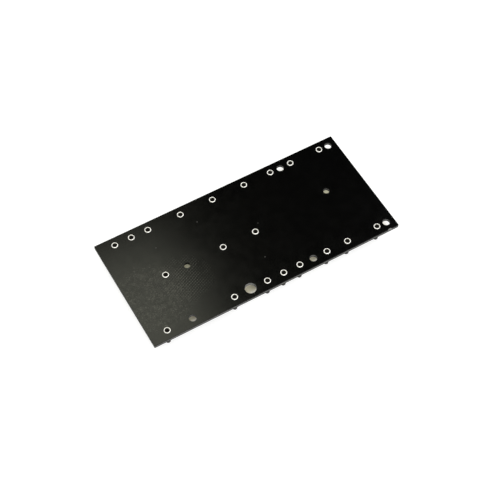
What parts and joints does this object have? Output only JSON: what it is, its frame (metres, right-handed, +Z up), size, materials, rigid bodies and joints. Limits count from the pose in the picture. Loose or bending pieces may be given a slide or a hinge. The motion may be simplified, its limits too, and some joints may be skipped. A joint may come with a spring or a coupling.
{
  "type": "turret board",
  "caption": "Flat black component board with rows of swaged hollow-shank turret terminals and clear holes for wires and mounting screws.",
  "frame": {"origin": "middle of the board's outline, on the surface that the turret heads stand on", "axes": "+X along the board, +Y towards the row of nine turrets, +Z up, out of the face with the swaged ends"},
  "size_m": [0.15, 0.07, 0.0114],
  "materials": {
    "board": "black glass-epoxy sheet, semi-gloss, with its cloth weave faintly showing",
    "turret": "silver-plated brass, satin"
  },
  "bodies": {
    "root": {"board": "board", "turret_front_1": "turret", "turret_front_2": "turret", "turret_front_3": "turret", "turret_front_4": "turret", "turret_front_5": "turret", "turret_front_6": "turret", "turret_front_7": "turret", "turret_front_8": "turret", "turret_middle_1": "turret", "turret_middle_2": "turret", "turret_middle_3": "turret", "turret_back_1": "turret", "turret_back_2": "turret", "turret_back_3": "turret", "turret_back_4": "turret", "turret_back_5": "turret", "turret_back_6": "turret", "turret_back_7": "turret", "turret_back_8": "turret", "turret_back_9": "turret"}
  },
  "joints": []
}
